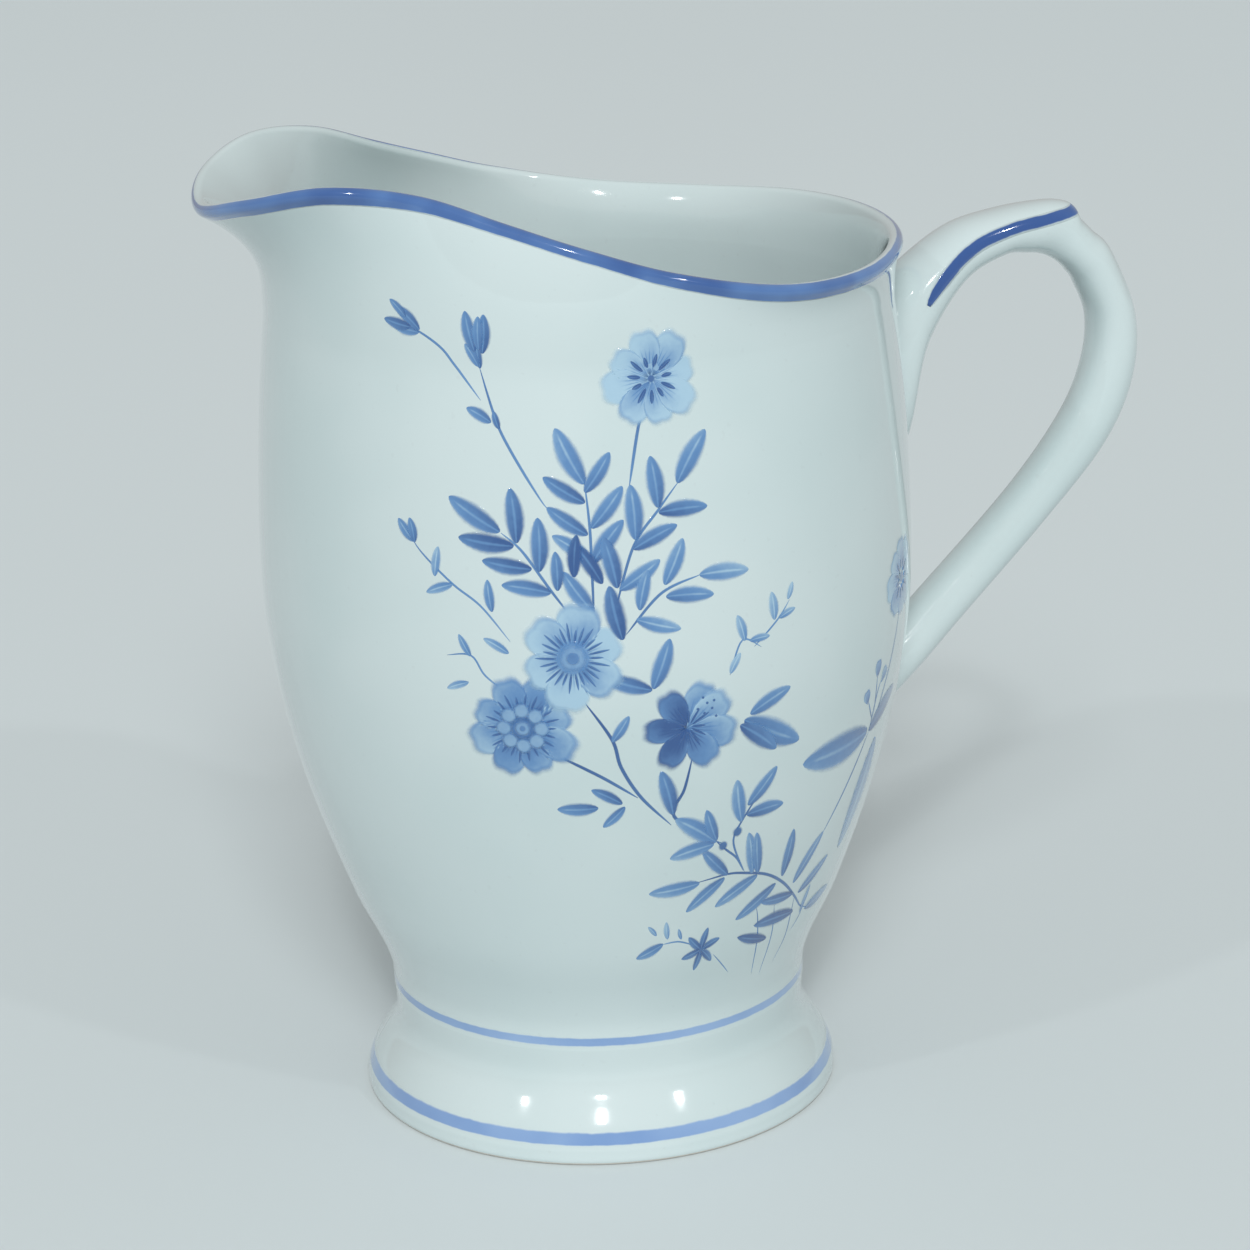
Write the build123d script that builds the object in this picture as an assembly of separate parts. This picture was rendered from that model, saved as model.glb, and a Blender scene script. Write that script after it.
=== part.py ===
from build123d import *
import math
import os

# Porcelain cream jug. Millimetres, +Z up, origin at the centre of the flat ring it stands on.
# The spout points along -X and the handle along +X; the two sides of y = 0 mirror each other.

# Bowl
WAIST_Z = 12.9            # the bowl was stuck to the foot at this height
BOWL = [(WAIST_Z, 25.0), (14.6, 25.05), (16.4, 25.3), (20.0, 26.6), (26.5, 29.6), (42.0, 34.8),
        (57.0, 37.75), (68.5, 38.3), (84.0, 37.6), (96.4, 36.4)]      # (height, outside radius)
NECK_Z = 96.4             # above this the wall bends out to the lip and the spout
LIP_BEND = 3.2            # power of that bend: most of it comes just under the lip
WALL_LOW = 3.0            # wall thickness over the foot
WALL_LIP = 1.7            # wall thickness at the lip
CAVITY = [(16.6, 12.0), (17.0, 16.0), (18.6, 20.5), (21.5, 24.0), (26.5, 26.9)]   # its round bottom
CAVITY_BLEND = 4.0        # height over which that bottom runs into the straight wall

# Lip: angle from the spout in degrees, outside radius, height
LIP = [(0, 44.0, 111.2), (15, 42.8, 113.1), (30, 39.5, 115.2), (45, 36.1, 114.5), (60, 34.7, 111.7),
       (75, 35.4, 108.9), (90, 36.5, 106.1), (110, 37.6, 103.6), (130, 37.8, 103.1),
       (155, 37.4, 103.8), (180, 37.0, 104.1)]

# Painted lines, let into the glaze
ENAMEL_DEPTH = 0.25
RIM_BAND_HEIGHT = 1.6
WAIST_BAND = [(13.4, 25.0), (14.5, 25.1)]      # lower and upper edge: height, radius there
FOOT_BAND = [(2.5, 28.4), (3.9, 27.75)]
STRIPE_HALF_WIDTH = 0.8

# Foot
FOOT_SIDE = [(28.7, 0.6), (28.5, 2.3), (27.6, 4.2), (25.3, 7.9), (24.8, 10.4), (25.0, WAIST_Z)]
RING_OUTER_R = 28.2       # the flat ring that the jug stands on
RING_INNER_R = 25.6
RECESS_LOW_R = 24.9       # the hollow under the jug
RECESS_LOW_Z = 1.2
RECESS_TOP_R = 21.8

# Handle: outer edge and inner edge in the XZ plane, and width across, from the top root down
HANDLE = [((33.0, 90.0), (33.0, 74.0), 11.0), ((37.6, 95.0), (39.6, 75.0), 12.0),
          ((41.6, 98.2), (41.9, 86.0), 11.0), ((46.9, 101.3), (46.9, 93.9), 9.4),
          ((54.0, 102.3), (53.4, 97.1), 8.2), ((60.8, 101.4), (58.4, 96.8), 7.4),
          ((66.8, 97.0), (61.9, 94.0), 7.2), ((70.4, 88.4), (64.4, 88.2), 7.2),
          ((70.1, 80.6), (64.0, 82.7), 7.2), ((66.5, 72.6), (61.2, 76.4), 7.1),
          ((58.6, 63.6), (54.6, 67.9), 6.9), ((47.2, 52.1), (43.2, 56.5), 7.0),
          ((41.5, 46.6), (37.0, 51.0), 7.6), ((35.4, 41.4), (31.4, 46.0), 8.0)]
# Thumb rest: a tongue on the top of the handle, written the same way; it ends in a crisp ridge
THUMB_REST = [((45.0, 100.2), (45.6, 98.0), 8.6), ((52.0, 102.5), (52.2, 99.0), 7.8),
              ((57.5, 103.1), (57.8, 99.4), 7.1), ((60.6, 102.9), (61.0, 98.8), 6.6),
              ((62.2, 102.0), (62.0, 97.8), 6.2)]
# The stripe runs along both edges of the top face: (row of the table, degrees off its crown)
STRIPE_ON_HANDLE = [(1.7, 72), (2.4, 70), (3.0, 68)]
STRIPE_ON_REST = [(0.8, 68), (1.6, 68), (2.4, 66), (3.2, 60)]
RIDGE_X = 60.8            # past here and above the next height, the whole ridge is painted
RIDGE_Z = 101.0
RIDGE_BLOCK = 10.0

# Cutting blocks, all larger than what they cut
CLEAR_X = 70.0
CLEAR_Y = 60.0
CLEAR_TOP = 150.0
SPOUT_DIP = 8.0
PAST_SKIN = 5.0

# How finely the bowl's walls are drawn
SECTION_POINTS = 24
DRAW_TOP = 117.0          # drawn to here, then trimmed to the lip line
OUTSIDE_LEVELS = [WAIST_Z, 14.2, 15.5, 16.6, 18.5, 21.0, 24.0, 28.0, 34.0, 42.0, 50.0, 58.0, 66.0,
                  74.0, 82.0, 90.0, 95.0, 98.0, 100.5, 103.0, 105.5, 108.0, 110.5, 113.0, DRAW_TOP]


def smooth(rows, x, column=1):
    """The value at x on a smooth curve through the rows of a table."""
    last = len(rows) - 1
    i = max([k for k in range(last) if rows[k][0] <= x], default=0)

    def slope(k):
        low, high = rows[max(k - 1, 0)], rows[min(k + 1, last)]
        return (high[column] - low[column]) / (high[0] - low[0])

    width = rows[i + 1][0] - rows[i][0]
    t = min(max((x - rows[i][0]) / width, 0.0), 1.0)
    return ((2 * t**3 - 3 * t**2 + 1) * rows[i][column] + (t**3 - 2 * t**2 + t) * width * slope(i)
            + (3 * t**2 - 2 * t**3) * rows[i + 1][column] + (t**3 - t**2) * width * slope(i + 1))


# The lip goes round: a row more at each end, mirrored, makes it level at the spout and the back
LIP_ROUND = ([(-LIP[1][0], *LIP[1][1:])] + LIP + [(360 - LIP[-2][0], *LIP[-2][1:])])


def outside_radius(angle, z):
    """Outside radius of the bowl at an angle from the spout (degrees, 0 to 180)."""
    lip_r = smooth(LIP_ROUND, angle, 1)
    lip_z = smooth(LIP_ROUND, angle, 2)
    radius = smooth(BOWL, z)
    if z > NECK_Z:
        rise = (z - NECK_Z) / (lip_z - NECK_Z)
        bend = rise**LIP_BEND if rise < 1 else 1 + LIP_BEND * (rise - 1)
        radius += (lip_r - BOWL[-1][1]) * bend
    return radius


def inside_radius(angle, z):
    """Inside radius: the wall keeps its thickness across the slope and thins towards the lip."""
    step = 0.2
    lean = (outside_radius(angle, z + step) - outside_radius(angle, z - step)) / (2 * step)
    height = min((z - WAIST_Z) / (NECK_Z - WAIST_Z), 1.0)
    wall = WALL_LOW + (WALL_LIP - WALL_LOW) * height
    return outside_radius(angle, z) - wall * math.hypot(1, lean)


def ring(radius_at, z):
    """A closed smooth outline of the bowl at one height."""
    points = []
    for k in range(SECTION_POINTS):
        angle = 360 * k / SECTION_POINTS
        radius = radius_at(min(angle, 360 - angle), z)
        points.append((-radius * math.cos(math.radians(angle)),
                       -radius * math.sin(math.radians(angle)), z))
    return make_face(Spline(*points, periodic=True))


def lip_trimmer(lowered=0.0):
    """A block over the lip line, that many millimetres below it."""
    line = [(-smooth(LIP_ROUND, a, 1) * math.cos(math.radians(a)), smooth(LIP_ROUND, a, 2) - lowered)
            for a in range(0, 181, 10)]
    spout_side, handle_side = (-CLEAR_X, line[0][1] - SPOUT_DIP), (CLEAR_X, line[-1][1])
    edge = Spline(*line)
    outline = edge + Polyline(line[-1], handle_side, (CLEAR_X, CLEAR_TOP), (-CLEAR_X, CLEAR_TOP), spout_side,
                              line[0])
    profile = Plane.XZ * make_face(outline)
    return extrude(profile, CLEAR_Y, both=True)


def bowl_blank():
    """The bowl as a full solid, still without its cavity."""
    return loft([ring(outside_radius, z) for z in OUTSIDE_LEVELS])


def cavity():
    """The hollow: a rounded bottom that runs up into the inside of the walls."""
    bottom = [ring(lambda angle, z, r=r: r, z) for z, r in CAVITY]
    clear = CAVITY[-1][0] + CAVITY_BLEND
    return loft(bottom + [ring(inside_radius, z) for z in OUTSIDE_LEVELS if z > clear])


def turned_foot():
    """The pedestal, hollow underneath, with the flat ring that the jug stands on."""
    outline = Spline(*FOOT_SIDE) + Polyline(FOOT_SIDE[-1], (RECESS_TOP_R, WAIST_Z), (RECESS_LOW_R, RECESS_LOW_Z),
                                            (RING_INNER_R, 0), (RING_OUTER_R, 0), FOOT_SIDE[0])
    return revolve(Plane.XZ * make_face(outline), Axis.Z)


def painted_skin(solid, edges):
    """The thin outer skin of a turned solid between two heights, where a line is painted."""
    (low, low_r), (high, high_r) = edges
    place = Pos(0, 0, (low + high) / 2)
    core = place * Cone(low_r - ENAMEL_DEPTH, high_r - ENAMEL_DEPTH, high - low)
    slab = place * Cylinder(low_r + PAST_SKIN, high - low)
    return solid & (slab - core)


def oval_frame(outer, inner):
    """The plane of one section of the handle: its X runs from the middle to the outer edge."""
    middle = ((outer[0] + inner[0]) / 2, 0, (outer[1] + inner[1]) / 2)
    outwards = Vector(outer[0] - inner[0], 0, outer[1] - inner[1])
    return Plane(origin=middle, x_dir=outwards, z_dir=outwards.cross(Vector(0, 1, 0)))


def oval_loft(table):
    sections = []
    for outer, inner, across in table:
        thick = math.dist(outer, inner)
        sections.append(oval_frame(outer, inner) * Ellipse(thick / 2, across / 2))
    return loft(sections)


def on_oval(table, row, degrees):
    """A point on the skin of a lofted table, between two of its rows, off the crown by an angle."""
    i = min(int(row), len(table) - 2)
    t = row - i
    spots = []
    for outer, inner, across in table[i:i + 2]:
        plane = oval_frame(outer, inner)
        turn = math.radians(degrees)
        spots.append(plane.origin + plane.x_dir * (math.dist(outer, inner) / 2 * math.cos(turn))
                     - Vector(0, across / 2 * math.sin(turn), 0))
    return spots[0] * (1 - t) + spots[1] * t


def brush_stroke():
    """A round stroke along the near edge of the handle's top face."""
    spots = [on_oval(HANDLE, row, turn) for row, turn in STRIPE_ON_HANDLE]
    spots += [on_oval(THUMB_REST, row, turn) for row, turn in STRIPE_ON_REST]
    path = Spline(*spots)
    return sweep(Plane(origin=path @ 0, z_dir=path % 0) * Circle(STRIPE_HALF_WIDTH), path)


def ridge_block():
    """Everything at and past the thumb rest's ridge."""
    size = RIDGE_BLOCK
    return Pos(RIDGE_X + size / 2, 0, RIDGE_Z + size / 2) * Box(size, 2 * size, size)


blank = bowl_blank()
shell = blank - cavity() - lip_trimmer()
rim_band = shell & lip_trimmer(RIM_BAND_HEIGHT)
waist_band = painted_skin(shell, WAIST_BAND)
jug_body = shell - rim_band - waist_band

pedestal = turned_foot()
foot_band = painted_skin(pedestal, FOOT_BAND)
foot = pedestal - foot_band

arm = oval_loft(HANDLE) + oval_loft(THUMB_REST) - blank
ridge = arm & ridge_block()
arm -= ridge_block()
near_stroke = brush_stroke()
far_stroke = mirror(near_stroke, Plane.XZ)
handle_stripe = Compound(children=[ridge, arm & near_stroke, arm & far_stroke])
handle = arm - near_stroke - far_stroke

os.makedirs("parts", exist_ok=True)
for node, solid in (("jug_body", jug_body), ("foot", foot), ("handle", handle), ("rim_band", rim_band),
                    ("waist_band", waist_band), ("foot_band", foot_band), ("handle_stripe", handle_stripe)):
    export_step(solid, f"parts/{node}.step")
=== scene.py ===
import math

import bmesh
import bpy
from mathutils import Matrix, Vector


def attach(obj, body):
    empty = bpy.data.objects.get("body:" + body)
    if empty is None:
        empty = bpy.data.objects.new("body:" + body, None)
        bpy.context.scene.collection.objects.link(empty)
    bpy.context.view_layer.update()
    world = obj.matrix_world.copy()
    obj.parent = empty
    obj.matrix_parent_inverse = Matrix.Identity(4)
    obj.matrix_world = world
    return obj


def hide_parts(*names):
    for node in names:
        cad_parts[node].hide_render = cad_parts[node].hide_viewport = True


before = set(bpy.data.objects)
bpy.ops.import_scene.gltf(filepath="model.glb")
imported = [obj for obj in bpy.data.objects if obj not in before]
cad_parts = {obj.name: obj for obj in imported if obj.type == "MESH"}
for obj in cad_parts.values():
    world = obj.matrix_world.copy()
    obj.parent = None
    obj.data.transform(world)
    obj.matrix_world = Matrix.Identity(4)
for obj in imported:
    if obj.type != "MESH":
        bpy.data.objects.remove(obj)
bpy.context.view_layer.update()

bl_info = {
    "name": "Porcelain Cream Jug",
    "version": (1, 0, 0),
    "blender": (4, 5, 0),
    "location": "3D View > Sidebar > Cream Jug",
    "description": "Throws, glazes and paints a footed porcelain cream jug",
    "category": "Object",
}

MM = 0.001

# Bowl: height and outside radius, in millimetres. The spout points along -X.
BOWL = [(12.9, 25.0), (14.6, 25.05), (16.4, 25.3), (20.0, 26.6), (26.5, 29.6), (42.0, 34.8),
        (57.0, 37.75), (68.5, 38.3), (84.0, 37.6), (96.4, 36.4)]
NECK_Z = 96.4
LIP_BEND = 3.2
WALL_LOW = 3.0
WALL_LIP = 1.7
CAVITY = [(0.0, 16.7), (9.0, 16.75), (15.0, 17.1), (19.5, 18.6), (23.0, 21.4), (25.2, 24.6)]

# Lip: angle from the spout in degrees, outside radius, height
LIP = [(0, 44.0, 111.2), (15, 42.8, 113.1), (30, 39.5, 115.2), (45, 36.1, 114.5), (60, 34.7, 111.7),
       (75, 35.4, 108.9), (90, 36.5, 106.1), (110, 37.6, 103.6), (130, 37.8, 103.1),
       (155, 37.4, 103.8), (180, 37.0, 104.1)]
LIP_ROUND = [(-LIP[1][0], *LIP[1][1:])] + LIP + [(360 - LIP[-2][0], *LIP[-2][1:])]

# Foot: radius and height from the flat ring up its side to the joint, then the hollow inside
FOOT_OUTSIDE = [(28.2, 0.0), (28.5, 0.12), (28.7, 0.55), (28.65, 1.3), (28.5, 2.3), (27.6, 4.2),
                (26.5, 6.0), (25.3, 7.9), (24.85, 9.4), (24.8, 10.8), (25.0, 12.9)]
FOOT_INSIDE = [(21.8, 12.9), (22.3, 10.5), (24.0, 4.0), (24.9, 1.2), (25.3, 0.3), (25.7, 0.0)]

# Handle: outer edge and inner edge in the XZ plane, and width across, from the top root down
HANDLE = [((36.0, 93.0), (37.2, 71.0), 11.0), ((37.9, 95.2), (39.8, 75.5), 12.0),
          ((41.6, 98.2), (41.9, 86.0), 11.0), ((46.9, 101.3), (46.9, 93.9), 9.5),
          ((52.6, 102.6), (52.3, 96.9), 8.5), ((57.6, 103.1), (55.8, 97.0), 7.7),
          ((60.5, 103.0), (57.8, 96.7), 7.1), ((62.0, 102.35), (59.3, 96.1), 6.9),
          ((62.9, 100.9), (60.5, 95.3), 7.0), ((64.4, 99.3), (61.6, 94.2), 7.1),
          ((67.0, 96.6), (62.8, 92.5), 7.2), ((70.3, 88.6), (64.5, 88.2), 7.2),
          ((70.1, 80.6), (64.0, 82.7), 7.2), ((66.5, 72.6), (61.2, 76.4), 7.1),
          ((58.6, 63.6), (54.6, 67.9), 6.9), ((47.2, 52.1), (43.2, 56.5), 7.0),
          ((41.0, 45.9), (39.2, 52.7), 7.6), ((33.6, 39.4), (35.4, 49.8), 8.6)]

# Painting: the print is drawn flat, as millimetres round from its own middle line, and height
PRINT_RADIUS = 38.0
FRONT_MIDDLE = 73.2       # degrees from the spout to the middle line of the front print
BACK_MIDDLE = 253.2
BACK_DROP = 3.0           # the back print sits lower, under the low lip by the handle
FILM = 0.06               # thickness of a painted film, most of it sunk in the glaze


def smooth(rows, x, column=1):
    """The value at x on a smooth curve through the rows of a table."""
    last = len(rows) - 1
    i = max([k for k in range(last) if rows[k][0] <= x], default=0)

    def slope(k):
        low, high = rows[max(k - 1, 0)], rows[min(k + 1, last)]
        return (high[column] - low[column]) / (high[0] - low[0])

    width = rows[i + 1][0] - rows[i][0]
    t = min(max((x - rows[i][0]) / width, 0.0), 1.0)
    return ((2 * t**3 - 3 * t**2 + 1) * rows[i][column] + (t**3 - 2 * t**2 + t) * width * slope(i)
            + (3 * t**2 - 2 * t**3) * rows[i + 1][column] + (t**3 - t**2) * width * slope(i + 1))


def along(points, steps):
    """Points on a smooth curve through the given ones, steps to each span, ends included."""
    rows = [(i, *p) for i, p in enumerate(points)]
    count = (len(points) - 1) * steps
    return [tuple(smooth(rows, i / steps, c + 1) for c in range(len(points[0]))) for i in range(count + 1)]


# ---------------------------------------------------------------- the shape of the wall

def lip_end(angle):
    """Where the outside of the wall turns into the round lip: radius, height, lean of the wall."""
    half = WALL_LIP / 2
    centre_r = smooth(LIP_ROUND, angle, 1) - half
    centre_z = smooth(LIP_ROUND, angle, 2) - half
    lean = 0.0
    for _ in range(6):
        size = math.hypot(1, lean)
        end_r, end_z = centre_r + half / size, centre_z - half * lean / size
        lean = LIP_BEND * (end_r - BOWL[-1][1]) / (end_z - NECK_Z)
    return end_r, end_z, lean


LIP_ENDS = [lip_end(a) for a in range(0, 181)]


def lip_at(angle):
    """lip_end at any angle round, read between whole degrees."""
    a = abs((angle + 180) % 360 - 180)
    i = min(int(a), 179)
    f = a - i
    return [LIP_ENDS[i][k] * (1 - f) + LIP_ENDS[i + 1][k] * f for k in range(3)]


def outside(angle, z):
    """Outside radius of the bowl and how it leans there, at an angle from the spout."""
    step = 0.1
    radius = smooth(BOWL, z)
    lean = (smooth(BOWL, z + step) - smooth(BOWL, z - step)) / (2 * step)
    if z > NECK_Z:
        end_r, end_z, _ = lip_at(angle)
        height = end_z - NECK_Z
        rise = (z - NECK_Z) / height
        reach = end_r - BOWL[-1][1]
        radius += reach * rise**LIP_BEND
        lean += reach * LIP_BEND * rise**(LIP_BEND - 1) / height
    return radius, lean


def wall_at(z):
    """Wall thickness at a height."""
    return WALL_LOW + (WALL_LIP - WALL_LOW) * min((z - BOWL[0][0]) / (NECK_Z - BOWL[0][0]), 1.0)


def offset_point(angle, z, inwards):
    """Radius and height of a point that lies inwards from the outside, square to the wall."""
    radius, lean = outside(angle, z)
    size = math.hypot(1, lean)
    return radius - inwards / size, z + inwards * lean / size


def place(angle, radius, z):
    """A point in metres from an angle off the spout (towards the near side), radius and height."""
    turn = math.radians(angle)
    return Vector((-radius * math.cos(turn), -radius * math.sin(turn), z)) * MM


def on_bowl(middle, around, height, lift=0.0):
    """A point of a flat print, laid on the bowl."""
    angle = middle + math.degrees(around / PRINT_RADIUS)
    radius, z = offset_point(angle, height, -lift)
    return place(angle, radius, z)


def handle_section(row):
    """Middle, outward half and half width of the handle's section, in millimetres."""
    rows = [(i, *o, *n, w) for i, (o, n, w) in enumerate(HANDLE)]
    ox, oz, ix, iz, width = (smooth(rows, row, c) for c in range(1, 6))
    outer, inner = Vector((ox, 0, oz)), Vector((ix, 0, iz))
    return (outer + inner) / 2, (outer - inner) / 2, width / 2


def on_handle(row, turn, lift=0.0):
    """A point on the handle's skin, turned off its crown by an angle towards the near side."""
    middle, half, width = handle_section(row)
    square = 0.9          # a little fuller than an oval
    c, s = math.cos(math.radians(turn)), math.sin(math.radians(turn))
    c, s = math.copysign(abs(c)**square, c), math.copysign(abs(s)**square, s)
    grow = 1 + lift / half.length
    return (middle + half * c * grow - Vector((0, (width + lift) * s, 0))) * MM


# ---------------------------------------------------------------- node trees written as sums

class Net:
    """A node tree being wired. add() makes any node and gives back one of its outputs as a Wire."""

    def __init__(self, tree):
        self.tree = tree

    def add(self, kind, settings=None, inputs=None, output=None):
        node = self.tree.nodes.new(kind)
        for name, value in (settings or {}).items():
            setattr(node, name, value)
        for key, value in (inputs or {}).items():
            socket = node.inputs[key] if isinstance(key, int) else self.named(node.inputs, key)
            if isinstance(value, (list, tuple)) and value and isinstance(value[0], Wire):
                for wire in value:
                    self.tree.links.new(wire.socket, socket)
            elif isinstance(value, Wire):
                self.tree.links.new(value.socket, socket)
            else:
                socket.default_value = value
        if not node.outputs:
            return node
        if output is None:
            return Wire(self, next(s for s in node.outputs if s.enabled))
        return Wire(self, self.named(node.outputs, output))

    @staticmethod
    def named(sockets, name):
        return next(s for s in sockets if s.name == name and s.enabled)

    def math(self, operation, *values):
        return self.add("ShaderNodeMath", {"operation": operation}, dict(enumerate(values)))

    def mix(self, factor, first, second):
        """A colour between two colours."""
        return self.add("ShaderNodeMix", {"data_type": "RGBA"}, {"Factor": factor, "A": first, "B": second})

    def ease(self, value, low, high):
        """0 below low, 1 above high and smooth between."""
        return self.add("ShaderNodeMapRange", {"interpolation_type": "SMOOTHSTEP"},
                        {"Value": value, "From Min": low, "From Max": high})

    def noise(self, scale, detail=2.0, rough=0.5):
        inputs = {"Scale": scale, "Detail": detail, "Roughness": rough}
        inputs["Vector"] = self.add("ShaderNodeTexCoord", output="Object")
        return self.add("ShaderNodeTexNoise", None, inputs, "Fac")

    def read(self, name):
        """A number kept on the piece's own points."""
        return self.add("ShaderNodeAttribute", {"attribute_name": name}, output="Fac")


class Wire:
    """An output of a node. Sums on wires add the Math nodes that work them out."""

    def __init__(self, net, socket):
        self.net, self.socket = net, socket

    def __add__(self, other):
        return self.net.math("ADD", self, other)

    def __sub__(self, other):
        return self.net.math("SUBTRACT", self, other)

    def __rsub__(self, other):
        return self.net.math("SUBTRACT", other, self)

    def __mul__(self, other):
        return self.net.math("MULTIPLY", self, other)

    def __pow__(self, other):
        return self.net.math("POWER", self, other)

    def __neg__(self):
        return self.net.math("MULTIPLY", self, -1.0)

    def __abs__(self):
        return self.net.math("ABSOLUTE", self)

    __radd__, __rmul__ = __add__, __mul__


def tone(red, green, blue):
    """A screen colour, 0 to 255, as the linear colour that sockets hold."""
    linear = [((v / 255 + 0.055) / 1.055)**2.4 for v in (red, green, blue)]
    return (*linear, 1.0)


# ---------------------------------------------------------------- what a user can change

class CreamJugSizes(bpy.types.PropertyGroup):
    """Sizes and counts of the jug."""

    around: bpy.props.IntProperty(
        name="Faces Round", description="How many faces go once round the bowl and foot", default=240, min=48)
    film: bpy.props.FloatProperty(
        name="Paint Film", description="Thickness of a painted line or printed film, most of it in the glaze",
        default=FILM * MM, unit="LENGTH", precision=6)
    rim_line: bpy.props.FloatProperty(
        name="Rim Line", description="How far the painted rim line comes down the outside",
        default=0.72 * MM, unit="LENGTH", precision=5)
    handle_line: bpy.props.FloatProperty(
        name="Handle Line", description="Width of the brushed line on the handle",
        default=1.7 * MM, unit="LENGTH", precision=5)
    stem: bpy.props.FloatProperty(
        name="Stem Width", description="Width of a printed stem where it is thickest",
        default=0.42 * MM, unit="LENGTH", precision=5)
    seed: bpy.props.IntProperty(
        name="Print Seed", description="Fixes the small differences between printed strokes", default=7)


def colour_field(name, description, red, green, blue):
    """A colour that the user can change."""
    return bpy.props.FloatVectorProperty(name=name, description=description, subtype="COLOR", size=4,
                                         default=tone(red, green, blue))


class CreamJugColours(bpy.types.PropertyGroup):
    """Glaze and enamel colours."""

    porcelain: colour_field("Porcelain", "Glazed porcelain", 194, 208, 209)
    pooled: colour_field("Pooled Glaze", "Where the clear glaze lies thicker", 182, 200, 201)
    cobalt: colour_field("Cobalt", "Enamel on the rim and the handle", 40, 78, 140)
    thin_cobalt: colour_field("Thin Cobalt", "The same enamel where the brush left less", 88, 128, 182)
    pale_blue: colour_field("Pale Blue", "Enamel of the waist and foot lines", 112, 145, 192)
    print_dark: colour_field("Print Dark", "The darkest blue of the print", 32, 76, 134)
    print_middle: colour_field("Print Middle", "The blue of most leaves and petals", 84, 129, 178)
    print_pale: colour_field("Print Pale", "The palest blue of the print", 156, 188, 208)


# ---------------------------------------------------------------- finishes

def new_material(name):
    """An empty node material, with the net that wires it."""
    material = bpy.data.materials.new(name)
    material.use_nodes = True
    material.node_tree.nodes.clear()
    return material, Net(material.node_tree)


def finish_material(net, colour, roughness, normal=None, alpha=None, coat=1.0):
    """Glaze over a coloured ground: the Principled shader that every finish here ends in."""
    inputs = {"Base Color": colour, "Roughness": roughness, "Coat Weight": coat, "Coat Roughness": 0.02,
              "Coat IOR": 1.5, "IOR": 1.5}
    if normal:
        inputs["Normal"] = normal
    if alpha:
        inputs["Alpha"] = alpha
    shader = net.add("ShaderNodeBsdfPrincipled", None, inputs, "BSDF")
    net.add("ShaderNodeOutputMaterial", None, {"Surface": shader})


def glaze_colour(net, colours):
    """Clear glaze on white paste: faint pooling and a very few fine specks."""
    pooled = net.ease(net.noise(38.0, 2.0), 0.42, 0.72)
    ground = net.mix(pooled * 0.5, tuple(colours.porcelain), tuple(colours.pooled))
    speck = net.ease(net.noise(1450.0, 0.0), 0.8, 0.84)
    return net.mix(speck * 0.1, ground, tone(168, 176, 178))


def glaze_ripple(net):
    """The faint unevenness of a fired glaze."""
    wave = net.noise(55.0, 1.0) + net.noise(420.0, 1.0) * 0.03
    return net.add("ShaderNodeBump", None, {"Strength": 0.35, "Distance": 0.0004, "Height": wave}, "Normal")


def porcelain_finish(colours):
    """Bowl and handle: glazed all over."""
    material, net = new_material("glazed_porcelain")
    finish_material(net, glaze_colour(net, colours), 0.07 + net.noise(90.0) * 0.06, glaze_ripple(net))
    return material


def foot_finish(colours):
    """Foot: glazed, but wiped bare and matt on the ring that it stands on."""
    material, net = new_material("glazed_porcelain_foot")
    bare = net.ease(net.read("finish"), 0.35, 0.65)
    paste = net.mix(net.noise(900.0, 3.0), tone(206, 203, 196), tone(188, 184, 176))
    colour = net.mix(bare, glaze_colour(net, colours), paste)
    finish_material(net, colour, 0.09 + bare * 0.66, glaze_ripple(net), coat=1.0 - bare)
    return material


def enamel_finish(name, colours, full, thin, streak):
    """A painted line: brush streaks in it, and soft edges where the glaze shows through."""
    material, net = new_material(name)
    uneven = net.noise(streak, 3.0, 0.6)
    paint = net.mix(net.ease(uneven + 0.08 - net.read("load") * 0.6, 0.35, 0.8), full, thin)
    cover = net.ease(net.read("finish") + (net.noise(700.0, 2.0) - 0.5) * 0.35, 0.12, 0.55)
    colour = net.mix(cover, glaze_colour(net, colours), paint)
    finish_material(net, colour, 0.08 + uneven * 0.08, glaze_ripple(net))
    return material


def print_finish(colours):
    """The printed strokes: darker at the base and one side, pale along the rib, with blurred edges."""
    material, net = new_material("underglaze_print")
    names = ("along", "across", "edge", "tint", "rib", "vein")
    run, across, edge, tint, rib, vein = (net.read(name) for name in names)
    grain = net.noise(1100.0, 2.0, 0.6) - 0.5
    shade = (tint * 0.95 + 0.2 * rib + (0.4 - run) * (0.34 + vein * 0.3)
             - across * (rib * 0.18 + vein * 0.2) + grain * 0.22)
    middle = (1 - net.ease(abs(across), 0.0, 0.2)) * (1 - net.ease(run, 0.75, 0.95))
    shade = shade - middle * rib * 0.34
    lines = net.ease(net.math("COSINE", across * 24), 0.2, 1.0) * (1 - net.ease(run, 0.3, 0.62))
    outline = net.ease(edge, 0.78, 0.88) * (1 - net.ease(edge, 0.9, 0.97))
    shade = shade + lines * vein * 0.3 + outline * vein * 0.26
    colour = net.mix(net.ease(shade, -0.1, 0.62), tuple(colours.print_pale), tuple(colours.print_middle))
    colour = net.mix(net.ease(shade, 0.5, 1.2), colour, tuple(colours.print_dark))
    soft = 0.52 + vein * 0.3
    cover = 1 - net.add("ShaderNodeMapRange", {"interpolation_type": "SMOOTHSTEP"},
                        {"Value": edge + grain * (0.12 - vein * 0.09), "From Min": soft, "From Max": 1.0})
    finish_material(net, colour, 0.1 + grain * 0.04, glaze_ripple(net), cover)
    return material


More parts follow.
